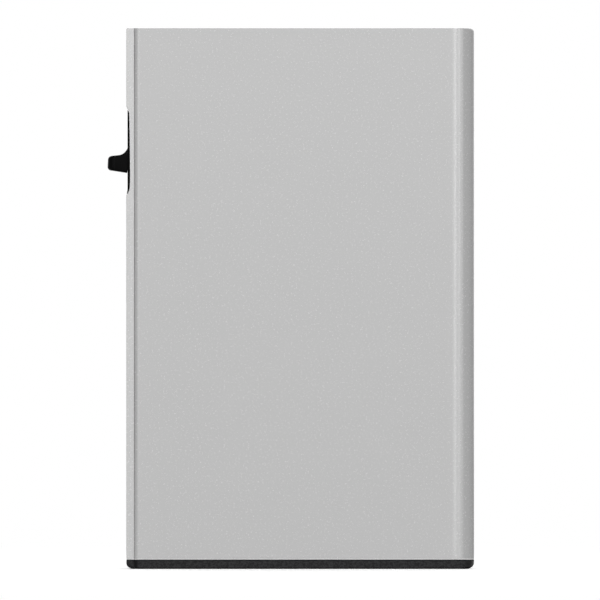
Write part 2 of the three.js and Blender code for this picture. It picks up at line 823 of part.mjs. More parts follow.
function pivotPieces() {
  const pin = piece("pivot_pin", pinGeometry(pivot.pinRadius, 2 * frameHalf), steel);
  const frontWasher = piece("pivot_washer_front", washerGeometry(), steel);
  const rearWasher = piece("pivot_washer_rear", washerGeometry(), steel);
  const inset = pivot.washer / 2 + fit.slide;
  pin.position.set(pivotX, 0, pivotZ);
  frontWasher.position.set(pivotX, bayFront + inset, pivotZ);
  rearWasher.position.set(pivotX, bayBack - inset, pivotZ);
  return [pin, frontWasher, rearWasher];
}

// Pieces that slide with the button.
function sliderGroup() {
  const group = new THREE.Group();
  const thumb = piece("slide_button", geometryOf(slideButton()), glossBlack);
  const pin = piece("drive_pin", pinGeometry(drivePin.radius, rod.footDepth), steel);
  thumb.position.set(leftFace, 0, buttonZ);
  pin.position.set(pinX, bayMiddle, pinZ);
  group.add(thumb, piece("push_rod", geometryOf(pushRod()), greyAcetal), pin);
  return group;
}

function springGroup() {
  const group = new THREE.Group();
  group.position.set(pinX, bayMiddle, springSeat.bottom + springSeat.height);
  group.add(piece("return_spring", returnSpring(), steel));
  return group;
}

function leverGroup() {
  const group = new THREE.Group();
  group.position.set(pivotX, 0, pivotZ);
  group.add(piece("ejector_lever", geometryOf(ejectorLever()), greyAcetal));
  return group;
}

const holder = new THREE.Group();
holder.add(caseGroup(), sliderGroup(), springGroup(), leverGroup());
console.log(`least gap between spring curls ${springGap().toFixed(2)} mm`);

export default holder;
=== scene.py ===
"""Pop up card holder: fine modelling, finishes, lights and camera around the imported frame.

Metres, +Z up, front towards -Y, as in the frame. Lengths below are in millimetres times MM.
"""

import json
import math

import bmesh
import bpy
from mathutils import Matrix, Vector


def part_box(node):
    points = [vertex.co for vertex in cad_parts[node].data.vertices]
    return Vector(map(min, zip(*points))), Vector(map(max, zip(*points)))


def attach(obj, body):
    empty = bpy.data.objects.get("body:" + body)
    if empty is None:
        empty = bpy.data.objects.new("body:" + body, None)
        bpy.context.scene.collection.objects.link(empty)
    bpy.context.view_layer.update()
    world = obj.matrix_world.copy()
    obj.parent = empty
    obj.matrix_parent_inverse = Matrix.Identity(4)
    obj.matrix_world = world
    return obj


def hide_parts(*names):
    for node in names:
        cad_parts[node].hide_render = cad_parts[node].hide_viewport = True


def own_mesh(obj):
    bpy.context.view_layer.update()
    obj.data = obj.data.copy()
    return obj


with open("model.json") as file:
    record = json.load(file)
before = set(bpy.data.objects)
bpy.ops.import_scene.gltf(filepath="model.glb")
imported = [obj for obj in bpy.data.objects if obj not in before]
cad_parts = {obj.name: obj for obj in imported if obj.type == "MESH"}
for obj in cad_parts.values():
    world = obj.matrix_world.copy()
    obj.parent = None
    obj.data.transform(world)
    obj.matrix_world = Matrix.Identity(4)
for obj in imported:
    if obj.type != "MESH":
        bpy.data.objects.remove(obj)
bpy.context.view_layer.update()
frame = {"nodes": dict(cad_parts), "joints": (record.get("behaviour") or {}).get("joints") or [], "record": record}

MM = 0.001

# How far a cutting tool runs past what it cuts, and what counts as one point, a sliver and a flat angle.
OVERRUN = 1 * MM
WELD = 0.001 * MM
SLIVER = 0.004 * MM
FLAT_ANGLE = 0.1

# Section that the sleeve and the cap share. Along the left edge a ledge lies lower than the flat front, by
# LEDGE_DROP at its crease and by LEDGE_FALL more at the edge. A roll leads from the crease up to the front.
LEDGE_WIDTH = 1.46 * MM
LEDGE_DROP = 0.8 * MM
LEDGE_FALL = 0.12 * MM
CREASE_RADIUS = 0.04 * MM
ROLL_WIDTH = 1.02 * MM
EDGE_RADIUS = 0.08 * MM
WALL = 0.9 * MM
SIDE_WALL = 1.2 * MM
CHANNEL_WIDTH = 1.05 * MM

# Round side on the right. A power of 2 would make it a true ellipse.
NOSE_WIDTH = 4.6 * MM
NOSE_POWER = 2.6

SECTION_STEPS = {"edge": 6, "crease": 5, "roll": 18, "nose": 48, "bore": 30}

# How each end is rounded: across and up at both corners seen from the front, and along the edge between them.
# The left corner's round dies away over its zone, and the right corner's over the round side, the faster the
# higher CORNER_POWER is.
MOUTH_ROUND = {
    "left": (0.25 * MM, 0.25 * MM),
    "right": (0.7 * MM, 0.7 * MM),
    "edge": 0.03 * MM,
    "zone": 0.5 * MM,
}
SEAM_ROUND = {
    "left": (0.1 * MM, 0.24 * MM),
    "right": (0.1 * MM, 0.24 * MM),
    "edge": 0.24 * MM,
    "zone": 0.5 * MM,
}
CAP_ROUND = {
    "left": (0.1 * MM, 0.15 * MM),
    "right": (0.1 * MM, 0.15 * MM),
    "edge": 0.15 * MM,
    "zone": 0.5 * MM,
}
FOOT_ROUND = {
    "left": (1.34 * MM, 1.05 * MM),
    "right": (1.25 * MM, 1.15 * MM),
    "edge": 0.3 * MM,
    "zone": 1.42 * MM,
}
CORNER_POWER = 3
ROUND_STEPS = 9

# Scalloped window in the sleeve's left side. The run to lower goes up from the window's lower end, and the
# one to bow goes up from lower. Those to upper and nick go down from the window's upper end.
SCALLOP_BOTTOM = 69.93 * MM
SCALLOP_LENGTH = 16.42 * MM
SCALLOP_DEPTHS = {"lower": 0.66 * MM, "bow": 0.76 * MM, "upper": 0.53 * MM, "nick": 0.1 * MM}
SCALLOP_RUNS = {"lower": 1.88 * MM, "bow": 3.1 * MM, "upper": 1.35 * MM, "nick": 0.42 * MM}
SCALLOP_TURN = {"across_share": 0.93, "lower": 0.37 * MM, "upper": 0.6 * MM}
SCALLOP_STEPS = {"end": 14, "bow": 24}

# Gap round a piece in its seat, and beside one that slides.
SEAT = 0.05 * MM
RUN = 0.2 * MM

# Insert that fills the window. Its collar stands in the side wall round the slot for the button's stem.
BEZEL_INSET = 0.1 * MM
BEZEL_PROUD = 0.02 * MM
BEZEL_ENDS = {"low": 0.16 * MM, "high": 0.56 * MM}
BEZEL_SWEEP = {"out": 0.15 * MM, "up": 1 * MM, "steps": 8}
COLLAR_LIP = 0.7 * MM

# Thumb button. Heights are from its lowest point, and reaches are outwards from the sleeve's left face.
TIP_LOW = {"height": 0.54 * MM, "radius": 0.74 * MM, "over": 0.03 * MM}
TIP_TOP = {"height": 3.16 * MM, "radius": 0.78 * MM, "slant": 0.1 * MM}
CROWN = {"reach": 1.25 * MM, "height": 3.37 * MM}
FLARE = {"reach": 0.35 * MM, "height": 3.53 * MM, "top": 4.6 * MM, "steps": 18}
ROOT_GAP = 0.03 * MM
ROOT_CHAMFER = {"across": 0.1 * MM, "up": 0.5 * MM}
PLAN_RADIUS = 1.3 * MM
PLAN_ZONE = 2.2 * MM
RIM_RADIUS = 0.28 * MM
RIM_ZONE = 0.5 * MM
STEM = {"width": 2.2 * MM, "height": 2.4 * MM, "lift": 1.03 * MM, "depth": 3.5 * MM}

# Cap and pads. LAND_GAP lies between the cap's land and the bore, and the first COARSE_STEPS of the foot's round,
# from the side, keep the side's coarse plastic; the cap's other rounds get painted shade.
LAND_GAP = 0.1 * MM
COARSE_STEPS = 3
PAD_GROOVE = {"width": 0.35 * MM, "pitch": 1 * MM, "depth": 0.25 * MM, "margin": 0.5 * MM}

# Screws.
CAP_SCREW = {"head": 1.25 * MM, "cone": 0.75 * MM, "shank": 0.6 * MM}
COVER_SCREW = {"head": 1 * MM, "cone": 0.45 * MM, "shank": 0.5 * MM}
SCREW_RIM = 0.05 * MM
THREAD = {"pitch": 0.3 * MM, "depth": 0.12 * MM}
DRIVE_SHARES = {"size": 0.52, "depth": 0.7, "lobe": 0.14}
DRIVE_LOBES = 6

# Spring and grip strips.
SPRING_WIRE = 0.4 * MM
SPRING_TURNS = 11
SPRING_STEPS = {"around": 12, "each_turn": 40}
GRIP_RIDGES = 6
GRIP_BASE = 0.35 * MM
GRIP_RIDGE_SHARE = 0.36
GRIP_STEPS = 8

# Widths of the small rounds that break the sharp edges.
EDGES = {
    "sleeve": 0.06 * MM,
    "insert": 0.02 * MM,
    "cap": 0.05 * MM,
    "pad": 0.06 * MM,
    "screw": 0.02 * MM,
    "grip": 0.08 * MM,
    "frame": 0.08 * MM,
    "sheet": 0.04 * MM,
    "strip": 0.02 * MM,
    "pin": 0.03 * MM,
    "acetal": 0.1 * MM,
}


# Outlines. Points are (across, up) pairs, and angles are in degrees.


def arc(centre, radius, start, end, steps):
    points = []
    for step in range(steps + 1):
        angle = math.radians(start + (end - start) * step / steps)
        points.append((centre[0] + radius * math.cos(angle), centre[1] + radius * math.sin(angle)))
    return points


def mirrored(points):
    return [(x, -y) for x, y in reversed(points)]


def curved(start, control, end, steps):
    """Quadratic curve from start to end, drawn towards control, without its start."""
    points = []
    for step in range(1, steps + 1):
        share = step / steps
        weights = ((1 - share) ** 2, 2 * share * (1 - share), share * share)
        pairs = zip(start, control, end)
        points.append(tuple(weights[0] * a + weights[1] * b + weights[2] * c for a, b, c in pairs))
    return points


def filleted(corners, steps=10):
    """Outline with round corners; corners holds (across, up, radius)."""
    points = []
    for index, (x, y, radius) in enumerate(corners):
        spot = Vector((x, y))
        neighbours = (corners[index - 1], corners[(index + 1) % len(corners)])
        sides = [(Vector(corner[:2]) - spot).normalized() for corner in neighbours]
        half = sides[0].angle(sides[1]) / 2
        middle = spot + (sides[0] + sides[1]).normalized() * radius / math.sin(half)
        start, end = [(spot + side * radius / math.tan(half) - middle).normalized() for side in sides]
        if radius:
            points += [tuple(middle + start.slerp(end, step / steps) * radius) for step in range(steps + 1)]
        else:
            points.append((x, y))
    return points


def drawn_in(outline, depth):
    """Clockwise outline with each point moved inwards by depth(across)."""
    normals = []
    for (x, y), (after_x, after_y) in zip(outline, outline[1:] + outline[:1]):
        normals.append(Vector((after_y - y, x - after_x)).normalized())
    moved = []
    for index, (x, y) in enumerate(outline):
        before, after = normals[index - 1], normals[index]
        way = (before + after) / (1 + before.dot(after)) * depth(x)
        moved.append((x + way.x, y + way.y))
    return moved


def stadium(centre, length, width, steps=14):
    """Bar with round ends, lying along the first axis."""
    radius = width / 2
    reach = length / 2 - radius
    right_end = arc((centre[0] + reach, centre[1]), radius, -90, 90, steps)
    left_end = arc((centre[0] - reach, centre[1]), radius, 90, 270, steps)
    return right_end + left_end


# Solids made from outlines.


def new_piece(name, form):
    mesh = bpy.data.meshes.new(name)
    bmesh.ops.recalc_face_normals(form, faces=form.faces)
    form.to_mesh(mesh)
    form.free()
    made = bpy.data.objects.new(name, mesh)
    bpy.context.scene.collection.objects.link(made)
    return made


def lofted(name, rings, edge_bands=(), materials=()):
    """Closed body through rings of as many points each. Bands in edge_bands get the second material."""
    form = bmesh.new()
    rings = [[form.verts.new(spot) for spot in ring] for ring in rings]
    for band, (first, second) in enumerate(zip(rings, rings[1:])):
        for index in range(len(first)):
            after = (index + 1) % len(first)
            face = form.faces.new((first[index], first[after], second[after], second[index]))
            face.material_index = 1 if band in edge_bands else 0
    form.faces.new(rings[0])
    form.faces.new(rings[-1])
    bmesh.ops.remove_doubles(form, verts=form.verts, dist=WELD)
    piece = new_piece(name, form)
    for material in materials:
        piece.data.materials.append(material)
    return piece


def laid(point, level, axis):
    """Place of a point of an outline that lies square to an axis, at a level along that axis."""
    across, up = point
    return {"X": (level, across, up), "Y": (across, level, up), "Z": (across, up, level)}[axis]


def prism(name, outline, low, high, axis):
    """Outline seen along an axis, carried along it from low to high."""
    return lofted(name, [[laid(point, level, axis) for point in outline] for level in (low, high)])


def block(name, low, high):
    corners = [(low[0], low[1]), (high[0], low[1]), (high[0], high[1]), (low[0], high[1])]
    return prism(name, corners, low[2], high[2], "Z")


def turned(name, profile, centre, axis, steps=48):
    """Closed body turned round an axis through centre; profile holds (radius, height) pairs."""
    form = bmesh.new()
    rings = []
    for radius, height in profile:
        ring = []
        for index in range(steps if radius else 1):
            angle = 2 * math.pi * index / steps
            spot = laid((radius * math.cos(angle), radius * math.sin(angle)), height, axis)
            ring.append(form.verts.new(Vector(centre) + Vector(spot)))
        rings.append(ring)
    for inner, outer in zip(rings, rings[1:]):
        for index in range(steps):
            after = (index + 1) % steps
            corners = [inner[index % len(inner)], outer[index % len(outer)]]
            corners += [outer[after % len(outer)], inner[after % len(inner)]]
            unique = list(dict.fromkeys(corners))
            if len(unique) > 2:
                form.faces.new(unique)
    return new_piece(name, form)


def settle_modifiers(piece):
    """Bake the modifiers into the mesh."""
    graph = bpy.context.evaluated_depsgraph_get()
    old = piece.data
    piece.data = bpy.data.meshes.new_from_object(piece.evaluated_get(graph))
    piece.data.name = piece.name
    piece.modifiers.clear()
    bpy.data.meshes.remove(old)


def combined(piece, tools, operation):
    for tool in tools:
        modifier = piece.modifiers.new("combine", "BOOLEAN")
        modifier.operation = operation
        modifier.solver = "EXACT"
        modifier.object = tool
        settle_modifiers(piece)
        bpy.data.objects.remove(tool)
    return piece


def cut(piece, *tools):
    return combined(piece, tools, "DIFFERENCE")


def kept(piece, *tools):
    return combined(piece, tools, "INTERSECT")


def joined(piece, *tools):
    return combined(piece, tools, "UNION")


def tidied(piece):
    """Weld slivers that the cuts leave and merge flat neighbours."""
    form = bmesh.new()
    form.from_mesh(piece.data)
    bmesh.ops.remove_doubles(form, verts=form.verts, dist=SLIVER)
    bmesh.ops.dissolve_degenerate(form, edges=form.edges, dist=WELD)
    flat = math.radians(FLAT_ANGLE)
    bmesh.ops.dissolve_limit(form, angle_limit=flat, verts=form.verts, edges=form.edges)
    form.to_mesh(piece.data)
    form.free()
    return piece


def smoothed(piece, sharp_angle=None):
    """Shade smooth, except at edges that turn by more than sharp_angle where one is given."""
    piece.data.polygons.foreach_set("use_smooth", [True] * len(piece.data.polygons))
    if sharp_angle:
        piece.data.set_sharp_from_angle(angle=math.radians(sharp_angle))
    return piece


def edged(piece, width, segments=2, angle=32, edge_material=False):
    """Break the edges that turn by more than angle with a small round, and shade smooth."""
    smoothed(piece)
    modifier = piece.modifiers.new("edges", "BEVEL")
    modifier.limit_method = "ANGLE"
    modifier.angle_limit = math.radians(angle)
    modifier.width = width
    modifier.segments = segments
    modifier.use_clamp_overlap = False
    modifier.harden_normals = True
    modifier.miter_outer = "MITER_ARC"
    if edge_material:
        modifier.material = 1
    flats = piece.modifiers.new("flats", "WEIGHTED_NORMAL")
    flats.keep_sharp = True
    return piece


def placed(piece, body, node, slot_name, *materials):
    """Give a finished piece its materials, and hang it on its body in place of a CAD node."""
    for material in materials:
        piece.data.materials.append(material)
    settle_modifiers(piece)
    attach(piece, body)
    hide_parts(node)
    return piece


# Finishes.

# Sockets of a Mix node that mixes colours, which share their names with others on the node.
MIX_SHARE, MIX_FIRST, MIX_SECOND, MIX_RESULT = 0, 6, 7, 2

SLOT_COLOURS = {entry["slot"]: entry["base_color"] for entry in frame["record"]["materials"]}


def slot_colour(slot_name, share=1.0):
    """Base colour of a slot in the record, made lighter or darker by share."""
    return [min(channel * share, 1) for channel in SLOT_COLOURS[slot_name]]


class Finish:
    """A Principled material with helpers for procedural detail in object coordinates."""

    def __init__(self, name, colour, roughness, metallic=0.0, specular=0.5, edge_tint=1.0):
        self.material = bpy.data.materials.new(name)
        self.material.use_nodes = True
        self.nodes = self.material.node_tree.nodes
        self.links = self.material.node_tree.links
        self.shader = self.nodes["Principled BSDF"]
        self.colour = colour
        self.shader.inputs["Base Color"].default_value = (*colour, 1)
        self.shader.inputs["Roughness"].default_value = roughness
        self.shader.inputs["Metallic"].default_value = metallic
        self.shader.inputs["Specular IOR Level"].default_value = specular
        self.shader.inputs["Specular Tint"].default_value = (edge_tint, edge_tint, edge_tint, 1)
        self.coordinates = self.nodes.new("ShaderNodeTexCoord").outputs["Object"]
        self.normal = None

    def noise(self, size, detail=2.0, stretch=(1, 1, 1), roughness=0.5):
        """Noise whose features measure about size, drawn out by stretch along each axis."""
        mapping = self.nodes.new("ShaderNodeMapping")
        mapping.inputs["Scale"].default_value = [1 / (size * pull) for pull in stretch]
        self.links.new(self.coordinates, mapping.inputs["Vector"])
        texture = self.nodes.new("ShaderNodeTexNoise")
        texture.inputs["Scale"].default_value = 1
        texture.inputs["Detail"].default_value = detail
        texture.inputs["Roughness"].default_value = roughness
        self.links.new(mapping.outputs["Vector"], texture.inputs["Vector"])
        return texture.outputs["Fac"]

    def ranged(self, source, low, high, from_low=0.3, from_high=0.7):
        """Value between low and high. Noise lies mostly between 0.3 and 0.7, so that is its usual range."""
        node = self.nodes.new("ShaderNodeMapRange")
        node.inputs["From Min"].default_value = from_low
        node.inputs["From Max"].default_value = from_high
        node.inputs["To Min"].default_value = low
        node.inputs["To Max"].default_value = high
        self.links.new(source, node.inputs["Value"])
        return node.outputs["Result"]

    def along_x(self, place, stretch, first, last):
        """Value that runs smoothly from first to last over a stretch of X, given from place."""
        parts = self.nodes.new("ShaderNodeSeparateXYZ")
        self.links.new(self.coordinates, parts.inputs["Vector"])
        value = self.ranged(parts.outputs["X"], first, last, place + stretch[0], place + stretch[1])
        value.node.interpolation_type = "SMOOTHSTEP"
        return value

    def combine(self, operation, first, second):
        node = self.nodes.new("ShaderNodeMath")
        node.operation = operation
        for socket, value in zip(node.inputs, (first, second)):
            if isinstance(value, (int, float)):
                socket.default_value = value
            else:
                self.links.new(value, socket)
        return node.outputs["Value"]

    def blend(self, first, second, share):
        """Sum of two values, in which the second has a share."""
        parts = (self.combine("MULTIPLY", first, 1 - share), self.combine("MULTIPLY", second, share))
        return self.combine("ADD", *parts)

    def colour_mix(self, share):
        """Mix node for colours, which becomes the base colour."""
        node = self.nodes.new("ShaderNodeMix")
        node.data_type = "RGBA"
        self.links.new(share, node.inputs[MIX_SHARE])
        self.links.new(node.outputs[MIX_RESULT], self.shader.inputs["Base Color"])
        return node

    def tint(self, source, dark, light):
        """Colour that runs from dark to light shares of the base colour as source runs from 0 to 1."""
        node = self.colour_mix(source)
        node.inputs[MIX_FIRST].default_value = (*[channel * dark for channel in self.colour], 1)
        node.inputs[MIX_SECOND].default_value = (*[min(channel * light, 1) for channel in self.colour], 1)

    def shaded(self, share):
        """Multiply the colour by share, from 0 to 1."""
        colour = self.shader.inputs["Base Color"].links[0].from_socket
        node = self.colour_mix(share)
        node.inputs[MIX_FIRST].default_value = (0, 0, 0, 1)
        self.links.new(colour, node.inputs[MIX_SECOND])

    def sheen_of(self, source, low, high):
        """Roughness between low and high."""
        self.links.new(self.ranged(source, low, high), self.shader.inputs["Roughness"])

    def bump(self, source, depth, strength):
        """Relief from a source, on top of any relief before it."""
        node = self.nodes.new("ShaderNodeBump")
        node.inputs["Strength"].default_value = strength
        node.inputs["Distance"].default_value = depth
        self.links.new(source, node.inputs["Height"])
        if self.normal is not None:
            self.links.new(self.normal, node.inputs["Normal"])
        self.normal = node.outputs["Normal"]
        self.links.new(self.normal, self.shader.inputs["Normal"])


def blasted_aluminium(name, share, roughness, metallic):
    """Bead-blasted and anodised: part of the light scatters in the oxide, and the rest reflects off metal."""
    colour = slot_colour("anodised_sleeve", share)
    finish = Finish(name, colour, roughness, metallic, specular=0.08, edge_tint=0.1)
    grain = finish.noise(size=0.16 * MM, detail=3)
    pits = finish.noise(size=0.45 * MM)
    cloud = finish.noise(size=6 * MM)
    mixed = finish.blend(grain, pits, 0.4)
    finish.tint(finish.ranged(finish.blend(mixed, cloud, 0.15), 0, 1), 0.98, 1.02)
    finish.sheen_of(mixed, roughness - 0.05, roughness + 0.05)
    finish.bump(pits, depth=0.01 * MM, strength=0.14)
    finish.bump(grain, depth=0.006 * MM, strength=0.18)
    return finish.material


def moulded(name, colour, roughness, specular, grain_size=0.22 * MM, depth=0.012 * MM, spread=0.22):
    """Plastic with the fine speckle and relief of a textured mould."""
    finish = Finish(name, colour, roughness, specular=specular)
    grain = finish.noise(grain_size, detail=3, roughness=0.6)
    cloud = finish.noise(size=5 * MM)
    finish.tint(finish.ranged(grain, 0, 1, from_low=0.4, from_high=0.6), 1 - spread, 1 + spread)
    finish.sheen_of(cloud, roughness - 0.05, roughness + 0.05)
    finish.bump(grain, depth, strength=0.5)
    return finish


def moulded_plastic(name, colour, **settings):
    return moulded(name, colour, **settings).material


# Painted shade on the cap: its colour darkens and lightens again on the steep start of the roll beside the crease,
# where shade falls, and darkens towards the tip of the round side, which turns from the light. The first two
# stretches are given from the crease, and the last from the tip.
CAP_PAINTED_SHADE = {
    "painted_shade_share": 0.08,
    "fall": (-0.05 * MM, 0.1 * MM),
    "rise": (0.35 * MM, 0.95 * MM),
    "tip": (-2.2 * MM, -0.5 * MM),
}


def cap_finish(name, crease, tip):
    """Coarse plastic for the cap, with shade painted into its colour beside the crease and towards the tip of the
    round side.
    """
    finish = moulded(
        name,
        slot_colour("matte_black_plastic"),
        roughness=0.5,
        specular=0.1,
        grain_size=0.3 * MM,
        depth=0.016 * MM,
        spread=0.5,
    )
    dark = CAP_PAINTED_SHADE["painted_shade_share"]
    fall = finish.along_x(crease, CAP_PAINTED_SHADE["fall"], 1, dark)
    rise = finish.along_x(crease, CAP_PAINTED_SHADE["rise"], dark, 1)
    # Painted shade on the steep start of the roll beside the crease, then towards the tip of the round side.
    finish.shaded(finish.combine("MAXIMUM", fall, rise))
    finish.shaded(finish.along_x(tip, CAP_PAINTED_SHADE["tip"], 1, dark))
    return finish.material


def gloss_plastic(name):
    """Polished plastic with faint smudges and dust."""
    finish = Finish(name, slot_colour("gloss_black_plastic", 0.5), 0.16, specular=0.03)
    smudge = finish.noise(size=1.6 * MM, detail=3, roughness=0.6)
    dust = finish.noise(size=0.12 * MM, detail=1)
    finish.tint(finish.ranged(dust, 0, 1, from_low=0.62, from_high=0.78), 1, 1.5)
    finish.sheen_of(smudge, 0.1, 0.26)
    finish.bump(smudge, depth=0.01 * MM, strength=0.2)
    return finish.material


def drawn_steel(name, slot_name, roughness, stretch, size=0.05 * MM):
    """Steel with fine lines along the axis that stretch draws out."""
    finish = Finish(name, slot_colour(slot_name), roughness, metallic=1)
    lines = finish.noise(size, detail=3, stretch=stretch, roughness=0.65)
    cloud = finish.noise(size=3 * MM)
    finish.tint(finish.ranged(lines, 0, 1), 0.88, 1.12)
    finish.sheen_of(cloud, roughness - 0.06, roughness + 0.08)
    finish.bump(lines, depth=0.004 * MM, strength=0.6)
    return finish.material


def soft_rubber(name):
    finish = Finish(name, slot_colour("black_rubber"), 0.8, specular=0.2)
    grain = finish.noise(size=0.18 * MM, detail=4, roughness=0.7)
    bloom = finish.noise(size=2.5 * MM)
    finish.tint(finish.ranged(bloom, 0, 1), 0.85, 1.3)
    finish.sheen_of(grain, 0.7, 0.9)
    finish.bump(grain, depth=0.02 * MM, strength=0.6)
    return finish.material


aluminium = blasted_aluminium("blasted_aluminium", share=1.0, roughness=0.25, metallic=0.3)
# Painted highlight: a lighter copy of the aluminium for the sleeve's seam round and broken edges, standing for the
# bright reflection along the cut edges.
aluminium_painted_highlight = blasted_aluminium("aluminium_painted_highlight", share=1.7, roughness=0.25, metallic=0.2)
# Painted shade: a darker copy of the cap's plastic for its rounds and broken edges, which turn from the light.
painted_shade_plastic = moulded_plastic(
    "painted_shade_plastic",
    slot_colour("matte_black_plastic", 0.3),
    roughness=0.6,
    specular=0.01,
)
bezel_plastic = moulded_plastic(
    "bezel_plastic",
    slot_colour("gloss_black_plastic", 0.5),
    roughness=0.45,
    specular=0.02,
    grain_size=0.15 * MM,
    depth=0.005 * MM,
)
frame_plastic = moulded_plastic(
    "frame_plastic",
    slot_colour("matte_black_plastic"),
    roughness=0.5,
    specular=0.35,
    grain_size=0.3 * MM,
)
acetal = moulded_plastic(
    "acetal",
    slot_colour("grey_acetal"),
    roughness=0.38,
    specular=0.45,
    grain_size=0.5 * MM,
    depth=0.004 * MM,
    spread=0.06,
)
button_plastic = gloss_plastic("button_plastic")
rubber = soft_rubber("rubber")
sheet_steel = drawn_steel("sheet_steel", "brushed_sheet", roughness=0.34, stretch=(60, 1, 1))
strip_steel = drawn_steel("strip_steel", "spring_steel", roughness=0.28, stretch=(1, 1, 60))
wire_steel = drawn_steel("wire_steel", "spring_steel", roughness=0.24, stretch=(4, 4, 1), size=0.08 * MM)
screw_steel = drawn_steel("screw_steel", "steel_fastener", roughness=0.3, stretch=(1, 1, 1), size=0.06 * MM)


# Stations from the frame.

tube_low, tube_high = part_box("case_tube")
button_low, button_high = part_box("slide_button")
button_slide = next(joint for joint in frame["joints"] if joint["name"] == "button_slide")

LEFT, RIGHT = tube_low.x, tube_high.x
HALF = tube_high.y
CAP_TOP, MOUTH = tube_low.z, tube_high.z
LAND_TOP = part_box("bottom_cap")[1].z
CREASE_X = LEFT + LEDGE_WIDTH
LEDGE_HALF = HALF - LEDGE_DROP
BORE_HALF = HALF - WALL
CHANNEL_LEFT = LEFT + SIDE_WALL
BORE_STEP = CHANNEL_LEFT + CHANNEL_WIDTH
SCALLOP_TOP = SCALLOP_BOTTOM + SCALLOP_LENGTH
BEZEL_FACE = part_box("slot_bezel")[0].x - BEZEL_PROUD
BUTTON_TIP = button_low.x
BUTTON_TRAVEL = button_slide["range_m"][1]
STEM_LOW = button_low.z + STEM["lift"]
STEM_HIGH = STEM_LOW + STEM["height"]
SLOT_LOW = STEM_LOW - BUTTON_TRAVEL - RUN
SLOT_HIGH = STEM_HIGH + RUN
SLOT_HALF = STEM["width"] / 2 + RUN


def node_centre(node):
    low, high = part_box(node)
    return (low + high) / 2


# Sleeve.


def nose_outline():
    """Front half of the round side, which leaves the flat more gently than a circle does."""
    points = []
    for step in range(SECTION_STEPS["nose"] + 1):
        angle = math.radians(90 * step / SECTION_STEPS["nose"])
        across = RIGHT - NOSE_WIDTH + NOSE_WIDTH * math.sin(angle) ** (2 / NOSE_POWER)
        points.append((across, -HALF * math.cos(angle)))
    return points


def sleeve_outline():
    """Section of the sleeve, with a point on the ledge where the round at the mouth's left corner ends."""
    edge_middle = (LEFT + EDGE_RADIUS, -LEDGE_HALF + LEDGE_FALL + EDGE_RADIUS)
    edge = arc(edge_middle, EDGE_RADIUS, 180, 270, SECTION_STEPS["edge"])
    crease_middle = (CREASE_X - CREASE_RADIUS, -LEDGE_HALF - CREASE_RADIUS)
    crease = arc(crease_middle, CREASE_RADIUS, 90, 0, SECTION_STEPS["crease"])
    share = (MOUTH_ROUND["zone"] - EDGE_RADIUS) / (crease[0][0] - edge[-1][0])
    ledge = [tuple(a + (b - a) * share for a, b in zip(edge[-1], crease[0]))]
    rise = LEDGE_DROP - CREASE_RADIUS
    quarter = arc((1, 1), 1, 180, 270, SECTION_STEPS["roll"])[1:]
    roll = [(CREASE_X + ROLL_WIDTH * x, -HALF + rise * y) for x, y in quarter]
    front = edge + ledge + crease + roll + nose_outline()
    return front + mirrored(front)[1:]


def rounded_end(outline, level, way, rounding):
    """Rings from the straight side to the flat end at level, which lies up (way 1) or down (way -1)."""
    edge = rounding["edge"]
    (left_across, left_up), (right_across, right_up) = rounding["left"], rounding["right"]
    rings = []
    for step in range(ROUND_STEPS + 1):
        angle = math.radians(90 * step / ROUND_STEPS)
        inward = 1 - math.cos(angle)
        ring = []
        for x, y in outline:
            to_left = max(0, 1 - (x - LEFT) / rounding["zone"])
            to_right = max(0, (x - RIGHT + NOSE_WIDTH) / NOSE_WIDTH) ** CORNER_POWER
            across = left_across * to_left - right_across * to_right
            up = edge + (left_up - edge) * to_left + (right_up - edge) * to_right
            height = level - way * up * (1 - math.sin(angle))
            ring.append((x + across * inward, y * (1 - edge / HALF * inward), height))
        rings.append(ring)
    return rings


def bore_outline(gap=0.0):
    """Section of the bore: the rod channel on the left, and the card pocket with its round side."""
    rail_half = LEDGE_HALF - WALL - gap
    step = BORE_STEP + gap
    front = [(CHANNEL_LEFT + gap, -rail_half), (step, -rail_half), (step, -BORE_HALF + gap)]
    front += arc((RIGHT - HALF, 0), BORE_HALF - gap, 270, 360, SECTION_STEPS["bore"])
    return front + mirrored(front)[1:]


def scallop_outline(gap=0.0):
    """Window seen from the front, from its lower end up."""
    low, high = SCALLOP_BOTTOM + gap, SCALLOP_TOP - gap
    outside = LEFT - OVERRUN
    depths = {name: LEFT + depth - gap for name, depth in SCALLOP_DEPTHS.items()}
    lower = (depths["lower"], low + SCALLOP_RUNS["lower"])
    bow = (depths["bow"], lower[1] + SCALLOP_RUNS["bow"])
    upper = (depths["upper"], high - SCALLOP_RUNS["upper"])
    nick = (depths["nick"], high - SCALLOP_RUNS["nick"])
    low_turn = (LEFT + SCALLOP_TURN["across_share"] * (lower[0] - LEFT), low + SCALLOP_TURN["lower"])
    high_turn = (upper[0], high - SCALLOP_TURN["upper"])
    points = [(outside, low), (LEFT, low)]
    points += curved(points[-1], low_turn, lower, SCALLOP_STEPS["end"])
    points += curved(lower, bow, upper, SCALLOP_STEPS["bow"])
    points += curved(upper, high_turn, nick, SCALLOP_STEPS["end"])
    return points + [(LEFT, high), (outside, high)]


def collar(gap=0.0):
    """Block round the slot for the button's stem, from the insert to the rod channel."""
    half = SLOT_HALF + COLLAR_LIP + gap
    low = (BEZEL_FACE + BEZEL_INSET, -half, SLOT_LOW - COLLAR_LIP - gap)
    high = (CHANNEL_LEFT + gap, half, SLOT_HIGH + COLLAR_LIP + gap)
    return block("tool", low, high)


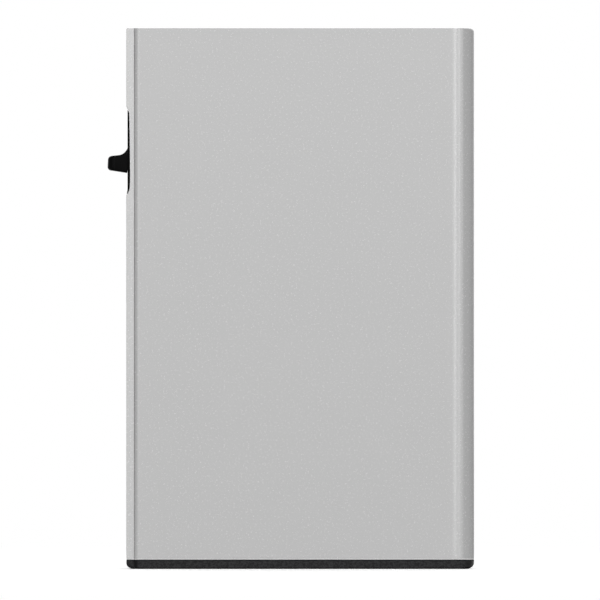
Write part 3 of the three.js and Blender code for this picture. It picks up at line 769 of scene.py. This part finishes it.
def make_sleeve():
    """Sleeve whose round at the seam and broken edges carry a painted highlight: a lighter copy of the aluminium
    of its faces.
    """
    outline = sleeve_outline()
    seam = rounded_end(outline, CAP_TOP, -1, SEAM_ROUND)[::-1]
    mouth = rounded_end(outline, MOUTH, 1, MOUTH_ROUND)
    # The seam round's bands, and below them the broken edges, get the lighter aluminium of the painted highlight.
    sleeve = lofted("sleeve", seam + mouth, range(ROUND_STEPS), (aluminium, aluminium_painted_highlight))
    cut(
        sleeve,
        prism("tool", bore_outline(), CAP_TOP - OVERRUN, MOUTH + OVERRUN, "Z"),
        prism("tool", scallop_outline(), -HALF - OVERRUN, HALF + OVERRUN, "Y"),
        collar(SEAT),
    )
    edged(tidied(sleeve), EDGES["sleeve"], edge_material=True)
    return placed(sleeve, "case", "case_tube", "anodised_sleeve")


def bezel_outline():
    """Seen from the front: upright outer face that sweeps outwards at its lower end, with blunt ends."""
    low = SCALLOP_BOTTOM + BEZEL_ENDS["low"]
    high = SCALLOP_TOP - BEZEL_ENDS["high"]
    start = (BEZEL_FACE, low + BEZEL_SWEEP["up"])
    control = (BEZEL_FACE, low + BEZEL_SWEEP["up"] / 2)
    sweep = curved(start, control, (BEZEL_FACE - BEZEL_SWEEP["out"], low), BEZEL_SWEEP["steps"])
    return [(BEZEL_FACE, high), start] + sweep + [(CHANNEL_LEFT, low), (CHANNEL_LEFT, high)]


def make_bezel():
    """Insert with its collar and the slot for the button's stem."""
    half = LEDGE_HALF - BEZEL_INSET
    bezel = prism("window_insert", scallop_outline(SEAT), -half, half, "Y")
    kept(bezel, prism("tool", bezel_outline(), -half, half, "Y"))
    joined(bezel, collar())
    cut(bezel, block("tool", (LEFT, -SLOT_HALF, SLOT_LOW), (CHANNEL_LEFT + OVERRUN, SLOT_HALF, SLOT_HIGH)))
    edged(tidied(bezel), EDGES["insert"])
    return placed(bezel, "case", "slot_bezel", "matte_black_plastic", bezel_plastic)


# Cap with its screws and pads.


def screw_hole(screw, length):
    """Profile of a countersunk hole that is open below, SEAT clear of the screw."""
    head, shank = screw["head"] + SEAT, screw["shank"] + SEAT
    tip = screw["shank"] / 2
    return [
        (0, -OVERRUN),
        (head, -OVERRUN),
        (head, 0),
        (shank, screw["cone"] + SEAT),
        (shank, length - tip + SEAT),
        (tip + SEAT, length + SEAT),
        (0, length + SEAT),
    ]


def make_cap():
    """Cap with coarse plastic on its straight side and the start of its foot's round, and painted shade, a darker
    copy of the plastic, on its other rounds and broken edges.
    """
    outline = sleeve_outline()
    foot = rounded_end(outline, 0, -1, FOOT_ROUND)[::-1]
    top = rounded_end(outline, CAP_TOP, 1, CAP_ROUND)
    coarse_bands = range(ROUND_STEPS - COARSE_STEPS, ROUND_STEPS + 1)
    # The bands outside the coarse ones get the darker plastic of painted shade.
    painted_shade_bands = [band for band in range(len(foot + top) - 1) if band not in coarse_bands]
    cap_plastic_painted_shade = cap_finish("cap_plastic_painted_shade", CREASE_X, RIGHT)
    cap = lofted("end_cap", foot + top, painted_shade_bands, (cap_plastic_painted_shade, painted_shade_plastic))
    joined(cap, prism("tool", bore_outline(LAND_GAP), CAP_TOP - SEAT, LAND_TOP, "Z"))
    for node in ("cap_screw_left", "cap_screw_right"):
        low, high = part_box(node)
        hole = screw_hole(CAP_SCREW, high.z - low.z)
        cut(cap, turned("tool", hole, (node_centre(node).x, 0, low.z), "Z"))
    for node in ("foot_pad_left", "foot_pad_right"):
        low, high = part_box(node)
        size = high - low
        pocket = stadium((node_centre(node).x, 0), size.x + 2 * SEAT, size.y + 2 * SEAT)
        cut(cap, prism("tool", pocket, -OVERRUN, high.z + SEAT, "Z"))
    # The broken edges get the darker plastic of painted shade too.
    edged(tidied(cap), EDGES["cap"], edge_material=True)
    return placed(cap, "case", "bottom_cap", "matte_black_plastic")


def make_pad(node):
    """Rubber pad with grooves from front to back."""
    low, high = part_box(node)
    size = high - low
    centre = node_centre(node)
    name = node.replace("foot_pad", "foot_rubber")
    pad = prism(name, stadium((centre.x, 0), size.x, size.y), low.z, high.z, "Z")
    half = PAD_GROOVE["width"] / 2
    side = size.y / 2 - PAD_GROOVE["margin"]
    count = int(size.x / PAD_GROOVE["pitch"]) - 1
    for index in range(count):
        x = centre.x + (index - (count - 1) / 2) * PAD_GROOVE["pitch"]
        cut(pad, block("tool", (x - half, -side, -OVERRUN), (x + half, side, PAD_GROOVE["depth"])))
    edged(tidied(pad), EDGES["pad"])
    return placed(pad, "case", node, "black_rubber", rubber)


def drive_recess(size, centre, steps=6):
    """Outline of a lobed drive recess."""
    points = []
    count = DRIVE_LOBES * steps * 2
    lobe = DRIVE_SHARES["lobe"]
    for index in range(count):
        angle = 2 * math.pi * index / count
        radius = size * (1 - lobe + lobe * math.cos(DRIVE_LOBES * angle))
        points.append((radius * math.cos(angle) + centre[0], radius * math.sin(angle) + centre[1]))
    return points


def make_screw(node, screw, axis):
    """Countersunk screw with a lobed recess and thread rings on the shank."""
    low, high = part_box(node)
    along = "XYZ".index(axis)
    start = node_centre(node)
    start[along] = low[along]
    length = (high - low)[along]
    head, cone, shank = screw["head"], screw["cone"], screw["shank"]
    profile = [(0, 0), (head - SCREW_RIM, 0), (head, SCREW_RIM), (shank, cone)]
    height = cone + THREAD["pitch"]
    while height < length - shank:
        profile += [(shank, height), (shank - THREAD["depth"], height + THREAD["pitch"] / 2)]
        height += THREAD["pitch"]
    profile += [(shank, length - shank / 2), (shank / 2, length), (0, length)]
    made = turned(node.replace("screw", "fastener"), profile, start, axis)
    middle = [value for index, value in enumerate(start) if index != along]
    recess = drive_recess(head * DRIVE_SHARES["size"], middle)
    base = start[along]
    cut(made, prism("tool", recess, base - OVERRUN, base + cone * DRIVE_SHARES["depth"], axis))
    edged(tidied(made), EDGES["screw"], segments=1, angle=50)
    return placed(made, "case", node, "steel_fastener", screw_steel)


# Button.


def button_outline():
    """Seen from the front, clockwise from the lower end of the root."""
    low = button_low.z
    root = BEZEL_FACE - ROOT_GAP
    crown = (LEFT - CROWN["reach"], low + CROWN["height"])
    corners = [
        (root, low + ROOT_CHAMFER["up"], 0),
        (root - ROOT_CHAMFER["across"], low, 0),
        (BUTTON_TIP - TIP_LOW["over"], low + TIP_LOW["height"], TIP_LOW["radius"]),
        (BUTTON_TIP + TIP_TOP["slant"], low + TIP_TOP["height"], TIP_TOP["radius"]),
        (*crown, 0),
    ]
    control = (LEFT - FLARE["reach"], low + FLARE["height"])
    return filleted(corners) + curved(crown, control, (root, low + FLARE["top"]), FLARE["steps"])


def make_button(steps=16):
    """Lofted from side to side: the tip is round in plan, and the rim of both sides is rounded."""
    outline = button_outline()
    root = outline[0][0]
    half = (button_high.y - button_low.y) / 2
    rings = []
    for step in range(-steps, steps + 1):
        angle = math.radians(90 * step / steps)
        if not step:
            continue
        out = PLAN_RADIUS * (1 - math.sin(abs(angle)))
        back = PLAN_RADIUS * (1 - math.cos(angle))
        rim = RIM_RADIUS - math.sqrt(RIM_RADIUS**2 - max(0, RIM_RADIUS - out) ** 2)
        level = math.copysign(half - out, step)
        ring = drawn_in(outline, lambda x: rim * min(1, (root - x) / RIM_ZONE))
        rings.append([(x + back * max(0, 1 - (x - BUTTON_TIP) / PLAN_ZONE), level, z) for x, z in ring])
    button = lofted("thumb_button", rings)
    stem_half = STEM["width"] / 2
    stem_low = (root - OVERRUN, -stem_half, STEM_LOW)
    joined(button, block("tool", stem_low, (LEFT + STEM["depth"], stem_half, STEM_HIGH)))
    smoothed(tidied(button), sharp_angle=40)
    return placed(button, "slider", "slide_button", "gloss_black_plastic", button_plastic)


# Spring and grip strips.


def make_spring():
    """Compression spring, one wire wound round and up."""
    low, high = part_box("return_spring")
    centre = node_centre("return_spring")
    radius = (high.x - low.x) / 2 - SPRING_WIRE / 2
    length = high.z - low.z
    around, along = SPRING_STEPS["around"], SPRING_TURNS * SPRING_STEPS["each_turn"]
    rings = []
    for step in range(along + 1):
        share = step / along
        angle = 2 * math.pi * SPRING_TURNS * share
        height = SPRING_WIRE / 2 + (length - SPRING_WIRE) * share
        middle = Vector((radius * math.cos(angle), radius * math.sin(angle), height))
        outward = Vector((math.cos(angle), math.sin(angle), 0))
        ring = []
        for index in range(around):
            turn = 2 * math.pi * index / around
            offset = outward * math.cos(turn) + Vector((0, 0, 1)) * math.sin(turn)
            spot = middle + offset * SPRING_WIRE / 2
            ring.append(Vector((centre.x, centre.y, low.z)) + spot)
        rings.append(ring)
    spring = smoothed(lofted("coil_spring", rings), sharp_angle=50)
    placed(spring, "case", "return_spring", "spring_steel", wire_steel)
    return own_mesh(spring)


def make_grip(node, side):
    """Rubber strip with rounded ridges, its back on the front (side -1) or back (side 1) wall of the bore."""
    low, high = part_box(node)
    wall = low.y if side < 0 else high.y
    inward = -side
    base = wall + inward * GRIP_BASE
    depth = high.y - low.y
    pitch = (high.z - low.z) / GRIP_RIDGES
    half = pitch * GRIP_RIDGE_SHARE
    profile = [(wall, high.z), (wall, low.z), (base, low.z)]
    for index in range(GRIP_RIDGES):
        middle = low.z + (index + 0.5) * pitch
        for step in range(GRIP_STEPS + 1):
            angle = math.pi * step / GRIP_STEPS
            reach = (depth - GRIP_BASE) * math.sin(angle)
            profile.append((base + inward * reach, middle - half * math.cos(angle)))
    profile.append((base, high.z))
    strip = prism(node.replace("grip_strip", "grip_rubber"), profile, low.x, high.x, "X")
    edged(tidied(strip), EDGES["grip"], angle=60)
    return placed(strip, "case", node, "black_rubber", rubber)


make_sleeve()
make_bezel()
make_cap()
make_pad("foot_pad_left")
make_pad("foot_pad_right")
for screw_node in ("cap_screw_left", "cap_screw_right"):
    make_screw(screw_node, CAP_SCREW, "Z")
for screw_node in ("cover_screw_left", "cover_screw_middle", "cover_screw_right"):
    make_screw(screw_node, COVER_SCREW, "Y")
make_button()
make_spring()
make_grip("grip_strip_front", -1)
make_grip("grip_strip_back", 1)

# CAD nodes that stay: a finish each, and a fine round on their edges.
CARRIED = {
    "inner_frame": (frame_plastic, EDGES["frame"]),
    "edge_rail": (frame_plastic, EDGES["frame"]),
    "lever_cover": (sheet_steel, EDGES["sheet"]),
    "card_spring": (strip_steel, EDGES["strip"]),
    "stop_pad": (rubber, EDGES["frame"]),
    "pivot_pin": (screw_steel, EDGES["pin"]),
    "pivot_washer_front": (screw_steel, EDGES["pin"]),
    "pivot_washer_rear": (screw_steel, EDGES["pin"]),
    "drive_pin": (screw_steel, EDGES["pin"]),
    "push_rod": (acetal, EDGES["acetal"]),
    "ejector_lever": (acetal, EDGES["acetal"]),
}
for carried_node, (material, width) in CARRIED.items():
    carried = frame["nodes"][carried_node]
    for place in carried.material_slots:
        place.material = material
    edged(carried, width, angle=30)


# Floor, surroundings, lamps and camera.


def white_to_lens(nodes, links):
    """1 for what the lens sees directly, mirrored or through glass, and 0 for scattered light."""
    path = nodes.new("ShaderNodeLightPath")
    total = path.outputs["Is Camera Ray"]
    for name in ("Is Glossy Ray", "Is Transmission Ray"):
        node = nodes.new("ShaderNodeMath")
        node.operation = "MAXIMUM"
        links.new(total, node.inputs[0])
        links.new(path.outputs[name], node.inputs[1])
        total = node.outputs["Value"]
    return total


AMBIENT = 0.12


def make_world():
    """White for the lens, and a weak even light for all else."""
    world = bpy.data.worlds.new("studio")
    bpy.context.scene.world = world
    world.use_nodes = True
    world.cycles.sampling_method = "NONE"
    nodes, links = world.node_tree.nodes, world.node_tree.links
    soft = nodes["Background"]
    soft.inputs["Color"].default_value = (1, 1, 1, 1)
    soft.inputs["Strength"].default_value = AMBIENT
    white = nodes.new("ShaderNodeBackground")
    white.inputs["Color"].default_value = (1, 1, 1, 1)
    white.inputs["Strength"].default_value = 1
    mix = nodes.new("ShaderNodeMixShader")
    links.new(white_to_lens(nodes, links), mix.inputs["Fac"])
    links.new(soft.outputs["Background"], mix.inputs[1])
    links.new(white.outputs["Background"], mix.inputs[2])
    links.new(mix.outputs["Shader"], nodes["World Output"].inputs["Surface"])


# The floor lies a hair below the object and fades into white between its near and far distances. It glows a
# little, catches the lamps' light and with it the object's shadow, and bounces a set light on to the object.
FLOOR = {"size": 6.0, "drop": 0.02 * MM, "near": 0.12, "far": 0.35, "glow": 0.1, "catch": 1.6, "bounce": 0.33}


def make_floor():
    """Pale floor, which is clear from below."""
    form = bmesh.new()
    half = FLOOR["size"] / 2
    corners = ((-half, -half), (half, -half), (half, half), (-half, half))
    form.faces.new([form.verts.new((x, y, -FLOOR["drop"])) for x, y in corners])
    floor = new_piece("floor", form)
    material = bpy.data.materials.new("pale_floor")
    material.use_nodes = True
    nodes, links = material.node_tree.nodes, material.node_tree.links
    nodes.remove(nodes["Principled BSDF"])

    def diffuse(level):
        node = nodes.new("ShaderNodeBsdfDiffuse")
        node.inputs["Color"].default_value = (level, level, level, 1)
        return node.outputs["BSDF"]

    def glow(strength):
        node = nodes.new("ShaderNodeEmission")
        node.inputs["Strength"].default_value = strength
        return node.outputs["Emission"]

    def mixed(share, first, second):
        node = nodes.new("ShaderNodeMixShader")
        links.new(share, node.inputs["Fac"])
        links.new(first, node.inputs[1])
        links.new(second, node.inputs[2])
        return node.outputs["Shader"]

    near = nodes.new("ShaderNodeAddShader")
    links.new(glow(FLOOR["glow"]), near.inputs[0])
    links.new(diffuse(FLOOR["catch"]), near.inputs[1])
    place = nodes.new("ShaderNodeTexCoord")
    away = nodes.new("ShaderNodeVectorMath")
    away.operation = "LENGTH"
    links.new(place.outputs["Object"], away.inputs[0])
    fade = nodes.new("ShaderNodeMapRange")
    fade.interpolation_type = "SMOOTHSTEP"
    fade.inputs["From Min"].default_value = FLOOR["near"]
    fade.inputs["From Max"].default_value = FLOOR["far"]
    links.new(away.outputs["Value"], fade.inputs["Value"])
    shown = mixed(fade.outputs["Result"], near.outputs["Shader"], glow(1))
    above = mixed(white_to_lens(nodes, links), glow(FLOOR["bounce"]), shown)
    facing = nodes.new("ShaderNodeNewGeometry")
    clear = nodes.new("ShaderNodeBsdfTransparent")
    both = mixed(facing.outputs["Backfacing"], above, clear.outputs["BSDF"])
    links.new(both, nodes["Material Output"].inputs["Surface"])
    floor.data.materials.append(material)


# Upright lamps stand at their azimuth, which is 0 in front and grows to the right. The softboxes light the
# two flat faces, and the narrow strips draw the bright lines along the roll and the round side.
SOFTBOX = {"distance": 3.0, "size": (4.8, 3.0), "radiance": 1.1}
SOFTBOXES = {"softbox_front": 0, "softbox_back": 180}
STRIP = {"distance": 2.9, "size": (0.155, 0.78)}
STRIPS = {
    "strip_left": (-13, 4.6),
    "strip_right": (13, 6.5),
    "strip_far_right": (31, 4.2),
    "strip_side": (46, 4),
}
OVERHEAD = {"height": 1.6, "size": (1.3, 1.3), "radiance": 1.6}


def make_lamp(name, place, away, size, radiance):
    """Soft lamp that shines against the direction away."""
    data = bpy.data.lights.new(name, "AREA")
    data.shape = "RECTANGLE"
    data.size, data.size_y = size
    data.energy = radiance * math.pi * size[0] * size[1]
    lamp = bpy.data.objects.new(name, data)
    bpy.context.scene.collection.objects.link(lamp)
    lamp.location = place
    lamp.rotation_euler = away.to_track_quat("Z", "Y").to_euler()
    lamp.visible_camera = False


def make_upright_lamp(name, azimuth, kind, radiance):
    turn = math.radians(azimuth)
    away = Vector((math.sin(turn), -math.cos(turn), 0))
    middle = Vector((0, 0, kind["size"][1] / 2))
    make_lamp(name, away * kind["distance"] + middle, away, kind["size"], radiance)


def make_lamps():
    for name, azimuth in SOFTBOXES.items():
        make_upright_lamp(name, azimuth, SOFTBOX, SOFTBOX["radiance"])
    for name, (azimuth, radiance) in STRIPS.items():
        make_upright_lamp(name, azimuth, STRIP, radiance)
    up = Vector((0, 0, 1))
    make_lamp("overhead", up * OVERHEAD["height"], up, OVERHEAD["size"], OVERHEAD["radiance"])


# The lens is long, because the photograph shows no perspective. VIEW_PLACE is the view's middle on X and Z.
LENS = 1200
SENSOR = 36
VIEW_WIDTH = 112.2 * MM
VIEW_PLACE = (-0.052 * MM, 50.23 * MM)
VIEW_END = 20


def make_camera():
    data = bpy.data.cameras.new("camera")
    data.lens = LENS
    data.sensor_width = SENSOR
    data.clip_end = VIEW_END
    camera = bpy.data.objects.new("camera", data)
    bpy.context.scene.collection.objects.link(camera)
    distance = VIEW_WIDTH * LENS / SENSOR
    camera.location = (VIEW_PLACE[0], -distance, VIEW_PLACE[1])
    camera.rotation_euler = (math.radians(90), 0, 0)
    bpy.context.scene.camera = camera


make_world()
make_floor()
make_lamps()
make_camera()
bpy.context.scene.view_settings.view_transform = "Standard"
